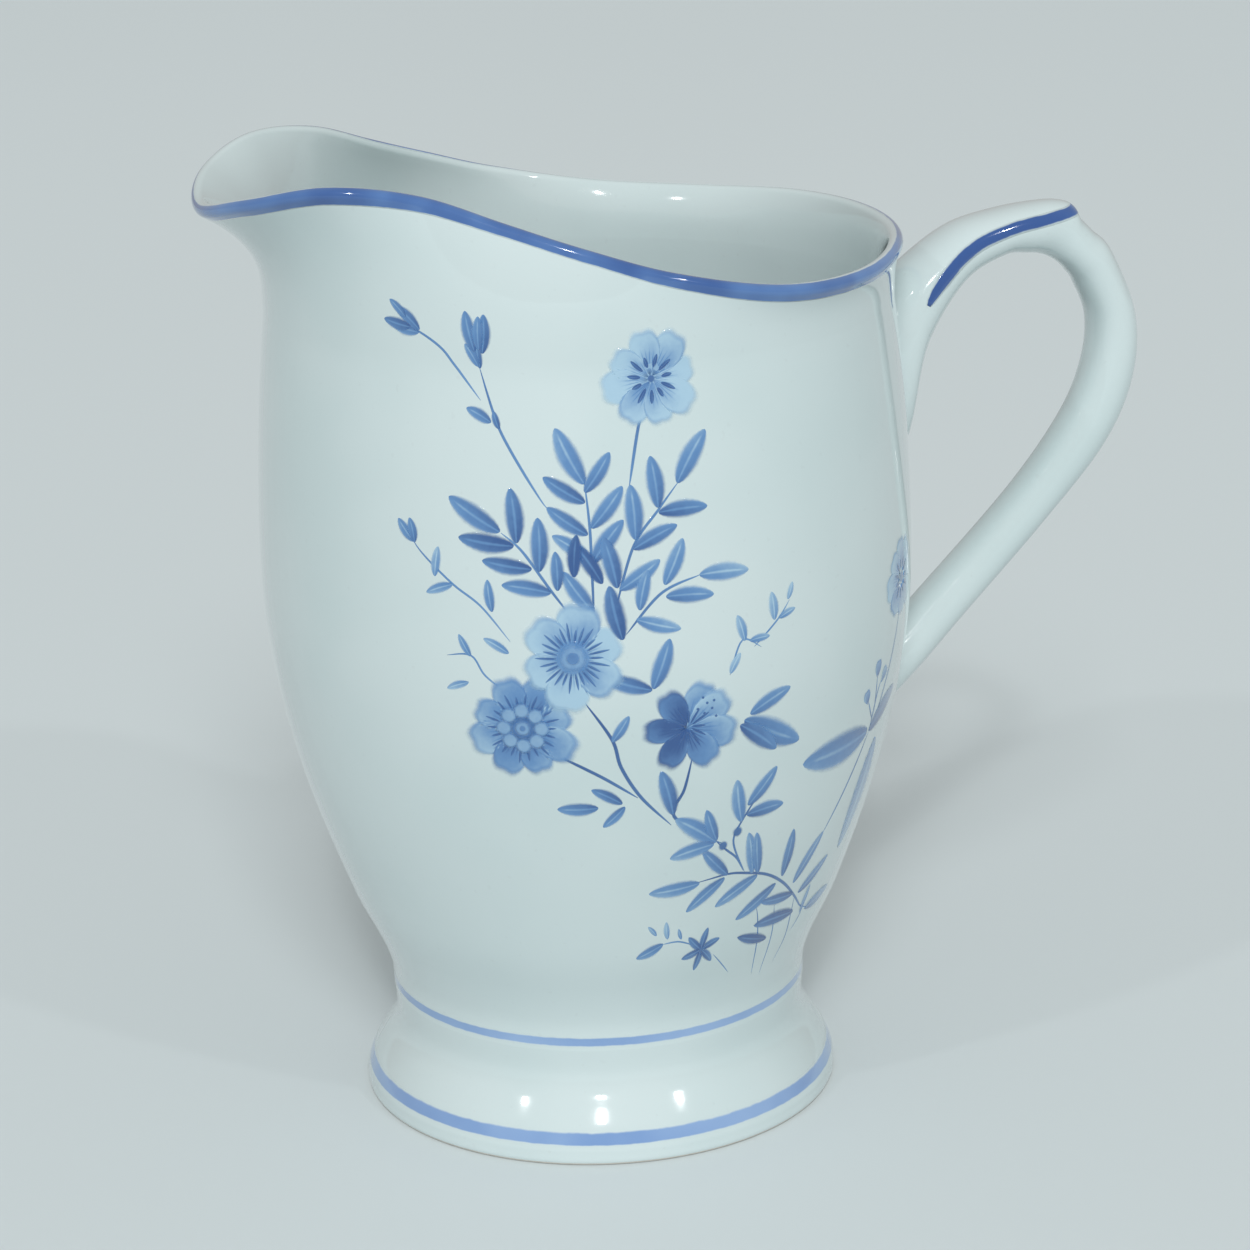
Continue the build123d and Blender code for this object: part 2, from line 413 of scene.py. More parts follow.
def floor_finish():
    """The plain pale surface that the jug stands on."""
    material, net = new_material("pale_floor")
    fine = net.noise(900.0, 2.0)
    colour = net.mix(net.noise(2.2, 1.0) * 0.5 + fine * 0.1, tone(203, 213, 215), tone(208, 217, 219))
    shader = net.add("ShaderNodeBsdfPrincipled", None, {"Base Color": colour, "Roughness": 0.65 + fine * 0.1},
                     "BSDF")
    net.add("ShaderNodeOutputMaterial", None, {"Surface": shader})
    return material


# ---------------------------------------------------------------- meshes

def mesh_piece(name, points, faces, material, sharp=38.0):
    """A smooth-shaded object from points in metres and faces."""
    mesh = bpy.data.meshes.new(name)
    mesh.from_pydata([tuple(p) for p in points], [], faces)
    mesh.materials.append(material)
    return mesh_object(name, mesh, sharp)


def mesh_object(name, mesh, sharp=38.0):
    """Gives a mesh smooth shading, sharp only at real corners, and an object at the origin."""
    mesh.validate()
    mesh.shade_smooth()
    mesh.set_sharp_from_angle(angle=math.radians(sharp))
    mesh.update()
    made = bpy.data.objects.new(name, mesh)
    bpy.context.scene.collection.objects.link(made)
    return made


def loops_mesh(rows, first_pole=None, last_pole=None):
    """Points and faces of a skin through closed loops of points, each end gathered to a pole if given."""
    count = len(rows[0])
    points = [p for row in rows for p in row]
    faces = [(low + i, low + (i + 1) % count, low + count + (i + 1) % count, low + count + i)
             for low in range(0, (len(rows) - 1) * count, count) for i in range(count)]
    for pole, row in ((first_pole, 0), (last_pole, len(rows) - 1)):
        if pole is not None:
            points.append(pole)
            tip, start = len(points) - 1, row * count
            ring = [(start + i, start + (i + 1) % count) for i in range(count)]
            faces += [(b, a, tip) if row == 0 else (a, b, tip) for a, b in ring]
    return points, faces


def turn_outwards(mesh):
    """Points a closed skin's faces out, after its seams are joined."""
    work = bmesh.new()
    work.from_mesh(mesh)
    bmesh.ops.remove_doubles(work, verts=work.verts, dist=0.002 * MM)
    bmesh.ops.recalc_face_normals(work, faces=work.faces)
    if work.calc_volume(signed=True) < 0:
        bmesh.ops.reverse_faces(work, faces=work.faces)
    work.to_mesh(mesh)
    work.free()


def thicken(obj, thickness):
    """Gives an open film its thickness, inwards from its outside, as a plain mesh."""
    solid = obj.modifiers.new("film", "SOLIDIFY")
    solid.thickness, solid.offset, solid.use_even_offset = thickness, -1.0, False
    return plain(obj)


def plain(obj):
    """Replaces an object's mesh by what its modifiers make of it, and takes them away."""
    graph = bpy.context.evaluated_depsgraph_get()
    mesh = bpy.data.meshes.new_from_object(obj.evaluated_get(graph), depsgraph=graph)
    obj.modifiers.clear()
    obj.data = mesh
    return obj


def wear(obj, slot, *nodes):
    """What every finished piece is told: its body and the nodes it stands for. The slot argument is not used.
    """
    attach(obj, "root")
    if nodes:
        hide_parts(*nodes)
    return obj


# ---------------------------------------------------------------- bowl, lip and handle

LOW_ROWS = 9              # rows of points near the waist, close together
LOW_STEP = 0.9
EVEN_Z = 21.5             # from here the rows are evenly spaced
EVEN_ROWS = 44
CAVITY_JOIN_Z = 26.0      # above this the inside follows the outside
CLIMB_ROWS = 14           # from the neck to the lip
LIP_STEPS = 12
RIM_REACH = 118           # degrees that the rim line goes round the lip, from outside
RIM_DROP_ROWS = 5
BRUSH_POINTS = 7          # across the handle line


def bowl_mesh(around):
    """The bowl as one closed wall: outside, round lip, inside and flat underside."""
    angles = [360 * i / around for i in range(around)]
    low = BOWL[0][0]
    heights = [low, low + 0.35] + [low + LOW_STEP * k for k in range(1, LOW_ROWS + 1)]
    heights += [EVEN_Z + (NECK_Z - EVEN_Z) * k / EVEN_ROWS for k in range(EVEN_ROWS + 1)]
    rows = []
    for z in heights:
        rows.append([place(a, outside(a, z)[0], z) for a in angles])
    climbs = [k / CLIMB_ROWS for k in range(1, CLIMB_ROWS + 1)]
    for climb in climbs:
        rows.append([place(a, *raised(a, climb)) for a in angles])
    for k in range(1, LIP_STEPS):
        rows.append([lip_point(a, 180 * k / LIP_STEPS) for a in angles])
    for climb in reversed(climbs):
        rows.append([place(a, *raised(a, climb, WALL_LIP)) for a in angles])
    for z in reversed([h for h in heights if h > CAVITY_JOIN_Z]):
        rows.append([place(a, *offset_point(a, z, wall_at(z))) for a in angles])
    for radius, z in reversed(along(CAVITY, 4)[1:]):
        rows.append([place(a, radius, z) for a in angles])
    return loops_mesh(rows, place(0, 0, low), place(0, 0, CAVITY[0][1]))


def raised(angle, climb, inwards=0.0):
    """Radius and height of the wall above the neck, at a share of the way up to the lip."""
    top = lip_at(angle)[1]
    return offset_point(angle, NECK_Z + climb * (top - NECK_Z), inwards)


def lip_point(angle, turn, lift=0.0):
    """A point on the round lip: turn is 0 outside, 90 on top and 180 inside."""
    end_r, end_z, lean = lip_at(angle)
    half, size = WALL_LIP / 2, math.hypot(1, lean)
    out = ((half + lift) * math.cos(math.radians(turn)), (half + lift) * math.sin(math.radians(turn)))
    radius = end_r - half / size + (out[0] + lean * out[1]) / size
    return place(angle, radius, end_z + half * lean / size + (out[1] - lean * out[0]) / size)


def lip_film_rows(drop, lift, angles):
    """Lines of points over the lip, from the outside to the inside, each with how far it is painted."""
    rows = []
    for k in range(RIM_DROP_ROWS):
        down = drop * (1 - k / RIM_DROP_ROWS)
        rows.append(([below_lip(a, down, lift) for a in angles], min(k / 2, 1.0)))
    for k in range(LIP_STEPS + 1):
        over = [lip_point(a, RIM_REACH * k / LIP_STEPS, lift) for a in angles]
        rows.append((over, min((LIP_STEPS - k) / 3, 1.0)))
    return rows


def below_lip(angle, down, lift):
    """A point on the outside, measured down the wall from where the lip begins."""
    _, end_z, lean = lip_at(angle)
    z = end_z - down / math.hypot(1, lean)
    return place(angle, *offset_point(angle, z, -lift))


def handle_mesh():
    """The handle as one closed loft of fuller-than-oval sections."""
    steps, around = 6, 48
    turns = [360 * i / around for i in range(around)]
    last = len(HANDLE) - 1
    spots = [k / steps for k in range(last * steps + 1)]
    rows = [[on_handle(s, t) for t in turns] for s in spots]
    ends = [handle_section(s)[0] * MM for s in (0, last)]
    return loops_mesh(rows, ends[0], ends[1])


def brushed_line(path, width, lift):
    """A film that follows a path of (row, turn) over the handle, square to it and on its skin."""
    spots = along(path, 6)
    points, shares = [], []
    reach = 0.02
    for i, (row, turn) in enumerate(spots):
        here = on_handle(row, turn, lift)
        before, after = spots[max(i - 1, 0)], spots[min(i + 1, len(spots) - 1)]
        run = (on_handle(*after, lift) - on_handle(*before, lift)).normalized()
        by_row = (on_handle(row + reach, turn, lift) - on_handle(row - reach, turn, lift)) / (2 * reach)
        by_turn = (on_handle(row, turn + 1, lift) - on_handle(row, turn - 1, lift)) / 2
        side = by_row.cross(by_turn).normalized().cross(run)
        taper = min(1.0, 0.3 + 0.7 * math.sqrt(min(i, len(spots) - 1 - i) / 6)) * MM
        for k in range(BRUSH_POINTS):
            share = k / (BRUSH_POINTS // 2) - 1
            step = side * (share * width / 2 * taper)
            a, b, c = by_row.dot(by_row), by_row.dot(by_turn), by_turn.dot(by_turn)
            u, v = by_row.dot(step), by_turn.dot(step)
            det = a * c - b * b
            points.append(on_handle(row + (c * u - b * v) / det, turn + (a * v - b * u) / det, lift))
            shares.append(1 - abs(share)**2)
    faces = [(row + k, row + k + 1, row + BRUSH_POINTS + k + 1, row + BRUSH_POINTS + k)
             for row in range(0, (len(spots) - 1) * BRUSH_POINTS, BRUSH_POINTS)
             for k in range(BRUSH_POINTS - 1)]
    return points, faces, shares


def keep_numbers(mesh, name, values):
    """Keeps one number for each point of a mesh, for its material to read."""
    mesh.attributes.new(name, "FLOAT", "POINT").data.foreach_set("value", values)


# ---------------------------------------------------------------- node trees that make meshes

def begin_tree(name, *inputs):
    """A geometry node tree with its inputs, given as (name, kind, default), as wires after its net."""
    tree = bpy.data.node_groups.new(name, "GeometryNodeTree")
    for label, kind, default in inputs:
        socket = tree.interface.new_socket(label, in_out="INPUT", socket_type="NodeSocket" + kind)
        if default is not None:
            socket.default_value = default
    tree.interface.new_socket("Made", in_out="OUTPUT", socket_type="NodeSocketGeometry")
    net = Net(tree)
    given = tree.nodes.new("NodeGroupInput")
    return net, *(Wire(net, socket) for socket in list(given.outputs)[:len(inputs)])


def end_tree(net, geometry, material):
    """Ends a tree with real points and its material."""
    whole = net.add("GeometryNodeRealizeInstances", None, {"Geometry": geometry})
    done = net.add("GeometryNodeSetMaterial", None, {"Geometry": whole, "Material": material})
    net.tree.links.new(done.socket, net.tree.nodes.new("NodeGroupOutput").inputs[0])
    return net.tree


def number_on(net, name):
    """A number kept on the points of the geometry, by its name."""
    return net.add("GeometryNodeInputNamedAttribute", {"data_type": "FLOAT"}, {"Name": name})


def part_of(net, vector, axis):
    """One part of a vector."""
    return net.add("ShaderNodeSeparateXYZ", None, {0: vector}, axis)


# ---------------------------------------------------------------- turned pieces

def turning_tree(material):
    """Geometry nodes that turn a closed line of (radius, 0, height) once round the Z axis."""
    net, profile, around, count = begin_tree("turned_on_the_wheel", ("Profile", "Geometry", None),
                                             ("Faces Round", "Int", 240), ("Profile Points", "Int", 12))
    grid = net.add("GeometryNodeMeshGrid", None,
                   {"Size X": 1.0, "Size Y": 1.0, "Vertices X": around + 1, "Vertices Y": count}, "Mesh")
    spot = net.add("GeometryNodeInputPosition")
    x, y = part_of(net, spot, "X"), part_of(net, spot, "Y")
    number = net.math("ROUND", (y + 0.5) * (count - 1))
    line = net.add("GeometryNodeSampleIndex", {"data_type": "FLOAT_VECTOR"},
                   {"Geometry": profile, "Value": net.add("GeometryNodeInputPosition"), "Index": number})
    radius, height = part_of(net, line, "X"), part_of(net, line, "Z")
    turn = (x + 0.5) * math.tau
    spun = net.add("ShaderNodeCombineXYZ", None, {0: radius * net.math("COSINE", turn),
                                                  1: radius * net.math("SINE", turn), 2: height})
    kept = net.add("GeometryNodeSampleIndex", {"data_type": "FLOAT"},
                   {"Geometry": profile, "Index": number, "Value": number_on(net, "finish")})
    marked = keep_fields(net, grid, (("finish", kept),))
    moved = net.add("GeometryNodeSetPosition", None, {"Geometry": marked, "Position": spun})
    closed = net.add("GeometryNodeMergeByDistance", None, {"Geometry": moved, "Distance": 0.001 * MM})
    return end_tree(net, closed, material)


def run_tree(obj, tree, values):
    """Runs a geometry node tree on an object with its inputs set by name, and keeps the plain mesh."""
    modifier = obj.modifiers.new("build", "NODES")
    modifier.node_group = tree
    for item in tree.interface.items_tree:
        if item.in_out == "INPUT" and item.name in values:
            modifier[item.identifier] = values[item.name]
    plain(obj)
    slots = obj.data.materials
    for i in reversed(range(len(slots))):
        if slots[i] is None:
            slots.pop(index=i)
    return obj


def turned(name, profile, marks, around, material):
    """A closed ring or cup turned from a profile of (radius, height) in millimetres."""
    closed = list(profile) + [profile[0]]
    line = bpy.data.meshes.new(name)
    line.from_pydata([(r * MM, 0, z * MM) for r, z in closed], [(i, i + 1) for i in range(len(profile))], [])
    keep_numbers(line, "finish", list(marks) + [marks[0]])
    made = mesh_object(name, line)
    run_tree(made, turning_tree(material), {"Faces Round": around, "Profile Points": len(closed)})
    turn_outwards(made.data)
    made.data.shade_smooth()
    made.data.set_sharp_from_angle(angle=math.radians(50))
    return made


def film_profile(edge, thickness, lift, steps=8):
    """A thin closed profile that lies on an edge line, and how far each point of it is painted."""
    line = along(edge, steps)
    outer, inner, marks = [], [], []
    for i, (r, z) in enumerate(line):
        before, after = line[max(i - 1, 0)], line[min(i + 1, len(line) - 1)]
        dr, dz = after[0] - before[0], after[1] - before[1]
        size = math.hypot(dr, dz)
        out_r, out_z = dz / size, -dr / size
        outer.append((r + out_r * lift, z + out_z * lift))
        inner.append((r - out_r * (thickness - lift), z - out_z * (thickness - lift)))
        marks.append(min(1.0, 3.0 * min(i, len(line) - 1 - i) / len(line)))
    return outer + inner[::-1], marks + marks[::-1]


# ---------------------------------------------------------------- the print

def stroke_tree(material):
    """Geometry nodes that lay a leaf, petal or dot at each point, in flat millimetres."""
    net, points, curl, notch, jitter, seed = begin_tree(
        "printed_strokes", ("Points", "Geometry", None), ("Curl", "Float", 0.05),
        ("Petal Notch", "Float", 0.09), ("Jitter", "Float", 0.04), ("Seed", "Int", 7))
    kinds = [blade(net, curl), blade(net, -curl), petal(net, notch), dab_shape(net)]
    shapes = net.add("GeometryNodeGeometryToInstance", None, {"Geometry": kinds[::-1]})
    loose = net.add("FunctionNodeRandomValue", {"data_type": "FLOAT"},
                    {"Min": -1.0, "Max": 1.0, "Seed": seed})
    turn = net.add("ShaderNodeCombineXYZ", None, {2: number_on(net, "turn") + loose * jitter})
    size = net.add("ShaderNodeCombineXYZ", None,
                   {0: number_on(net, "length"), 1: number_on(net, "width"), 2: 1.0})
    placed = net.add("GeometryNodeInstanceOnPoints", None,
                     {"Points": points, "Instance": shapes, "Pick Instance": True,
                      "Instance Index": number_on(net, "kind"), "Scale": size,
                      "Rotation": net.add("FunctionNodeEulerToRotation", None, {0: turn})})
    return end_tree(net, placed, material)


def keep_fields(net, shape, fields):
    """Keeps several numbers on each point of a shape."""
    for name, field in fields:
        shape = net.add("GeometryNodeStoreNamedAttribute", {"data_type": "FLOAT", "domain": "POINT"},
                        {"Geometry": shape, "Name": name, "Value": field})
    return shape


def unit_grid(net, columns, rows):
    """A grid, with how far along it each point is, 0 to 1, and how far across, -1 to 1."""
    grid = net.add("GeometryNodeMeshGrid", None,
                   {"Size X": 1.0, "Size Y": 1.0, "Vertices X": columns, "Vertices Y": rows}, "Mesh")
    spot = net.add("GeometryNodeInputPosition")
    return grid, part_of(net, spot, "X") + 0.5, part_of(net, spot, "Y") * 2


def shape_grid(net, grid, x, y):
    """Moves the grid's points to a flat shape and closes its ends."""
    flat = net.add("ShaderNodeCombineXYZ", None, {0: x, 1: y})
    moved = net.add("GeometryNodeSetPosition", None, {"Geometry": grid, "Position": flat})
    return net.add("GeometryNodeMergeByDistance", None, {"Geometry": moved, "Distance": 0.004})


def blade(net, curl):
    """A blunt leaf, one long and one wide, from its base at 0."""
    grid, share, across = unit_grid(net, 12, 7)
    run = 0.5 - net.math("COSINE", share * math.pi) * 0.5
    grid = keep_fields(net, grid, (("along", run), ("across", across), ("edge", abs(across)),
                                   ("rib", across * 0 + 1), ("vein", across * 0)))
    belly = net.math("SINE", run ** 0.95 * (math.pi * 0.999)) ** 0.56 * 0.5
    side = across * belly + net.math("SINE", run * math.pi) * curl
    return shape_grid(net, grid, run, side)


def petal(net, notch):
    """A petal one long and about one wide, narrow at its base, with a notch in its end."""
    grid, run, across = unit_grid(net, 7, 17)
    grid = keep_fields(net, grid, (("along", run), ("across", across), ("edge", run), ("rib", across * 0),
                                   ("vein", across * 0 + 1)))
    dip = 1 - net.math("EXPONENT", (across * across) * -22) * notch
    reach = run * dip * net.math("COSINE", across * (math.pi / 2 * 0.995)) ** 0.38
    turn = across * math.radians(52)
    return shape_grid(net, grid, reach * net.math("COSINE", turn), reach * net.math("SINE", turn) * 1.18)


def dab_shape(net):
    """A round touch of the brush, one across."""
    grid, share, across = unit_grid(net, 4, 17)
    grid = keep_fields(net, grid, (("along", share * 0 + 0.5), ("across", share * 0), ("edge", share * 0.95),
                                   ("rib", share * 0), ("vein", share * 0)))
    turn = across * math.pi
    return shape_grid(net, grid, share * net.math("COSINE", turn) * 0.5, share * net.math("SINE", turn) * 0.5)


def stem_tree(material):
    """Geometry nodes that draw a flat ribbon along each line, with round bends, in flat millimetres."""
    net, lines, width = begin_tree("printed_stems", ("Lines", "Geometry", None), ("Width", "Float", 0.4))
    curve = net.add("GeometryNodeMeshToCurve", None, {"Mesh": lines})
    curve = net.add("GeometryNodeCurveSplineType", {"spline_type": "CATMULL_ROM"}, {"Curve": curve})
    curve = net.add("GeometryNodeResampleCurve", {"mode": "LENGTH"}, {"Curve": curve, "Length": 0.45})
    curve = net.add("GeometryNodeSetCurveNormal", {"mode": "Z_UP"}, {"Curve": curve})
    run = net.add("GeometryNodeSplineParameter", None, None, "Factor")
    taper = 1 - abs(run * 2 - 1) ** 3 * 0.8
    curve = keep_fields(net, curve, (("along", run), ("rib", run * 0), ("vein", run * 0),
                                     ("broad", width * number_on(net, "width") * taper)))
    profile = net.add("GeometryNodeCurvePrimitiveLine", None, {"Start": (-0.5, 0, 0), "End": (0.5, 0, 0)})
    profile = net.add("GeometryNodeResampleCurve", {"mode": "COUNT"}, {"Curve": profile, "Count": 5})
    part = net.add("GeometryNodeSplineParameter", None, None, "Factor") * 2 - 1
    profile = keep_fields(net, profile, (("across", part), ("edge", abs(part))))
    ribbon = net.add("GeometryNodeCurveToMesh", None,
                     {"Curve": curve, "Profile Curve": profile, "Scale": number_on(net, "broad")})
    return end_tree(net, ribbon, material)


def lay_on_bowl(obj, middle, film):
    """Lays a flat print on the bowl as a thin film with its face outwards."""
    mesh = obj.data
    work = bmesh.new()
    work.from_mesh(mesh)
    bmesh.ops.dissolve_degenerate(work, edges=work.edges, dist=1e-5)
    work.normal_update()
    down = [f for f in work.faces if f.normal.z < 0]
    bmesh.ops.reverse_faces(work, faces=down)
    for v in work.verts:
        v.co = on_bowl(middle, *v.co)
    work.to_mesh(mesh)
    work.free()
    mesh.shade_smooth()
    return thicken(obj, film)


LEAF, LEAF_BACK, PETAL, DAB = range(4)
LAYER_STEP = 0.0022       # how much higher each stroke of a piece lies than the one before
STEM_DARKER = 0.25        # how much darker stems are than strokes of the same tint


def sink_in_glaze(obj):
    """The print lies in the clear glaze, so it doesn't shade the porcelain under its own blurred edges."""
    obj.visible_shadow = False
    obj.visible_diffuse = False
    return obj


def strokes_piece(name, strokes, middle, layer, drop, tree, jug):
    """One printed piece from strokes of (kind, round, height, length, direction, width, tint)."""
    mesh = bpy.data.meshes.new(name)
    lifts = [layer + LAYER_STEP * i for i in range(len(strokes))]
    mesh.from_pydata([(s[1], s[2] - drop, lift) for s, lift in zip(strokes, lifts)], [], [])
    for label, column, scale in (("kind", 0, 1), ("length", 3, 1), ("turn", 4, math.pi / 180),
                                 ("width", 5, 1), ("tint", 6, 1)):
        keep_numbers(mesh, label, [s[column] * scale for s in strokes])
    made = mesh_object(name, mesh)
    run_tree(made, tree, {"Seed": jug.seed})
    return lay_on_bowl(made, middle, jug.film + lifts[-1] * MM)


def stems_piece(name, stems, middle, layer, drop, tree, jug):
    """One printed piece from stems: each a width, a tint and the points of its line."""
    points, edges, widths, tints = [], [], [], []
    for width, tint, line in stems:
        edges += [(len(points) + i, len(points) + i + 1) for i in range(len(line) - 1)]
        points += [(x, y - drop, layer) for x, y in line]
        widths += [width] * len(line)
        tints += [tint + STEM_DARKER] * len(line)
    mesh = bpy.data.meshes.new(name)
    mesh.from_pydata(points, edges, [])
    keep_numbers(mesh, "width", widths)
    keep_numbers(mesh, "tint", tints)
    made = mesh_object(name, mesh)
    run_tree(made, tree, {"Width": jug.stem / MM})
    return lay_on_bowl(made, middle, jug.film)


def leaf(x, y, length, direction, tint=0.55, width=0.46, back=False):
    """A leaf: place of its base, length and direction, how dark, and width as a share of its length."""
    return (LEAF_BACK if back else LEAF, x, y, length * 1.06, direction, length * width, tint)


def leaves(rows, tint, width=0.46):
    """Leaves from rows of (x, y, length, direction), curling and shading in turn."""
    return [leaf(x, y, size, turn, tint + 0.12 * ((i * 7) % 5 - 2) / 2, width, back=i % 2 == 1)
            for i, (x, y, size, turn) in enumerate(rows)]


def dab(x, y, size, tint):
    """A round touch."""
    return (DAB, x, y, size, 0, size, tint)


def petals(x, y, reach, count, tint, start=0, width=0.62, inner=0.15):
    """A ring of petals round a centre."""
    made = []
    for i in range(count):
        turn = start + 360 * i / count
        c, s = math.cos(math.radians(turn)), math.sin(math.radians(turn))
        size = reach * (1 - inner) * (1 + 0.07 * ((i * 5) % 3 - 1))
        made.append((PETAL, x + reach * inner * c, y + reach * inner * s, size, turn, size * width,
                     tint + 0.09 * ((i * 3) % 4 - 1.5)))
    return made


def ring_of_dabs(x, y, reach, count, size, tint, start=0):
    """Stamens round a centre."""
    turns = [math.radians(start + 360 * i / count) for i in range(count)]
    return [dab(x + reach * math.cos(t), y + reach * math.sin(t), size, tint) for t in turns]


def middle_sprays():
    """The three upright sprays and the one at the lower right, with their feathery leaves."""
    upright = [(0, 84.3, 6.4, 116), (0, 83.4, 4.8, 57), (0, 82.3, 5, 150), (0.6, 79.5, 5.3, 54),
               (0.2, 78.8, 5, 143), (0.5, 76, 4.7, 148), (0.6, 75.7, 5.4, 54), (3.2, 72.8, 5.5, 103),
               (0.6, 70.2, 5.3, 127), (-3.2, 72.7, 4.1, 90)]
    left = [(-9.3, 79.1, 6.4, 149), (-7.5, 77.9, 5.7, 95), (-7.8, 77.6, 5.9, 173), (-5.1, 74.8, 5.6, 92),
            (-5.9, 75.1, 5.2, 171), (-3.9, 72.5, 5.1, 171)]
    right = [(10.1, 83.8, 6.1, 56), (7.9, 81.3, 5.4, 98), (7.9, 80.8, 5.2, 1), (5.3, 78, 5.7, 95),
             (5, 77, 5.1, 26), (3.4, 72.6, 5.1, 33)]
    low = [(12.2, 73.5, 5.5, 0), (8.3, 72.8, 5.1, 65), (8.4, 71.5, 5.1, -4), (5.1, 69.2, 4.8, -15),
           (5.5, 70.2, 4.3, 78)]
    sprig = [(-16.9, 73.7, 3.2, 80), (-14.8, 73, 3.2, 200), (-10.4, 70.2, 3.4, 95), (-8.7, 65.6, 3, 150),
             (-13, 65, 2.6, 120), (-13.4, 62, 2.6, 200)]
    distant = [(15.6, 61.8, 2.4, 62), (17.4, 65.3, 3, 108), (18, 65.2, 2.4, 5), (21.2, 67, 3.1, 96),
               (21.8, 67.1, 2.2, 20), (23, 69, 1.9, 70)]
    return (leaves(upright, 0.58) + leaves(left, 0.72) + leaves(right, 0.58) + leaves(low, 0.4)
            + leaves(sprig, 0.35, 0.44) + leaves(distant, 0.2, 0.5)
            + leaves([(3.6, 67, 5.9, 104), (1.6, 73.4, 4.8, 122), (-1.4, 74.2, 4.4, 84)], 0.95))


def lower_cluster():
    """The trailing branch at the lower right and the leaves by the berries."""
    trailing = [(13.7, 35.7, 6.5, -176), (17.3, 35.8, 6, -142), (17.7, 36.1, 5.5, 138), (22.6, 35, 6.4, -151),
                (26.5, 32.9, 6.6, -151), (21.6, 35.5, 5.7, 109), (22.6, 35.3, 5.6, 106), (27.4, 33.6, 6, 90),
                (30.3, 31.9, 6.6, 59), (32.4, 30, 6.1, 31), (35, 26.5, 3.6, 87), (36.2, 26.8, 6.3, 9)]
    dark = [(31.1, 30.3, 6.2, 175), (32.7, 27.4, 7.9, 180), (28, 24.9, 6.2, 164)]
    berry = [(18.5, 43, 5.4, 102), (19.1, 45, 5.2, 48), (19.1, 43.8, 5.1, 4), (15.3, 41, 6.4, 145),
             (15.3, 41.2, 4.3, 114), (15, 40.8, 5.5, -168)]
    return leaves(trailing, 0.5, 0.38) + leaves(dark, 0.85, 0.32) + leaves(berry, 0.5)


def flower_leaves():
    """Leaves that stand behind the three large flowers."""
    wide = [(18.3, 56.5, 5.4, 22), (17.6, 55.9, 8.5, -27), (17.1, 55.4, 6.1, -35), (6.8, 61.1, 5.6, 73),
            (6.7, 61, 5.5, 159), (2.2, 55.1, 3.4, 60), (0.5, 47, 4.5, -178), (3.3, 47.4, 3.8, 151),
            (3.6, 47, 3.4, -134), (9.4, 45.4, 5.6, 104)]
    return leaves(wide, 0.6)


def dashes(x, y, start, length, count, width, tint, turn=0):
    """Fine strokes that stand out round a centre."""
    made = []
    for i in range(count):
        angle = turn + 360 * i / count
        c, s = math.cos(math.radians(angle)), math.sin(math.radians(angle))
        made.append((LEAF, x + start * c, y + start * s, length * (1 + 0.2 * ((i * 5) % 3 - 1)), angle, width,
                     tint))
    return made


def anemone():
    """The pale open flower with a ringed eye and fine dark strokes round it."""
    x, y = -1.8, 65.1
    return ([dab(x, y, 6.6, 0.5)] + petals(x, y, 6.7, 6, 0.24, 22, 0.76, 0.06)
            + dashes(x, y, 1.7, 2.0, 26, 0.36, 0.85)
            + [dab(x, y, 4.6, 0.66), dab(x, y, 3.2, 0.42), dab(x, y, 1.7, 0.8)])


def zinnia():
    """The fuller flower below it, with pale lobes round a dark eye."""
    x, y = -7.6, 56.9
    return ([dab(x, y, 7.0, 0.8)] + petals(x, y, 7.0, 8, 0.62, 20, 0.62, 0.06)
            + dashes(x, y, 2.6, 1.4, 22, 0.34, 0.95) + ring_of_dabs(x, y, 2.05, 8, 2.3, 0.9)
            + ring_of_dabs(x, y, 2.1, 8, 1.9, 0.36)
            + [dab(x, y, 3.0, 0.95), dab(x, y, 1.9, 0.42), dab(x, y, 0.8, 0.8)])


def dark_flower():
    """The dark flower seen half from the side, with fine stamens."""
    x, y = 10.5, 56.0
    rows = [(6.6, 66, 0.6), (6.9, 36, 0.45), (7.3, -10, 0.55), (6.6, -55, 0.8), (5.9, 121, 1.1),
            (5.6, 180, 1.15), (5.9, -118, 1.2)]
    return ([dab(x, y, 4.0, 0.8)]
            + [(PETAL, x, y, size, turn, size * 0.58, tint) for size, turn, tint in rows]
            + dashes(x + 0.3, y + 0.2, 0.4, 2.0, 12, 0.36, 1.1)
            + [dab(12.6 + a, 57.6 + b, 0.38, 1.1) for a, b in ((0, 0), (0.9, 0.5), (-0.8, 0.6), (0.3, 1.2),
                                                              (1.4, -0.5), (1.1, 1.4), (-0.2, 1.9))])


def light_flower():
    """The high pale flower with dashes round its dark eye."""
    x, y = 7.7, 95.2
    return ([dab(x, y, 5.6, 0.3)] + petals(x, y, 6.1, 8, 0.2, 12, 0.64, 0.06)
            + dashes(x, y, 1.2, 1.5, 11, 0.62, 1.0, 8) + [dab(x, y, 0.95, 1.05)])


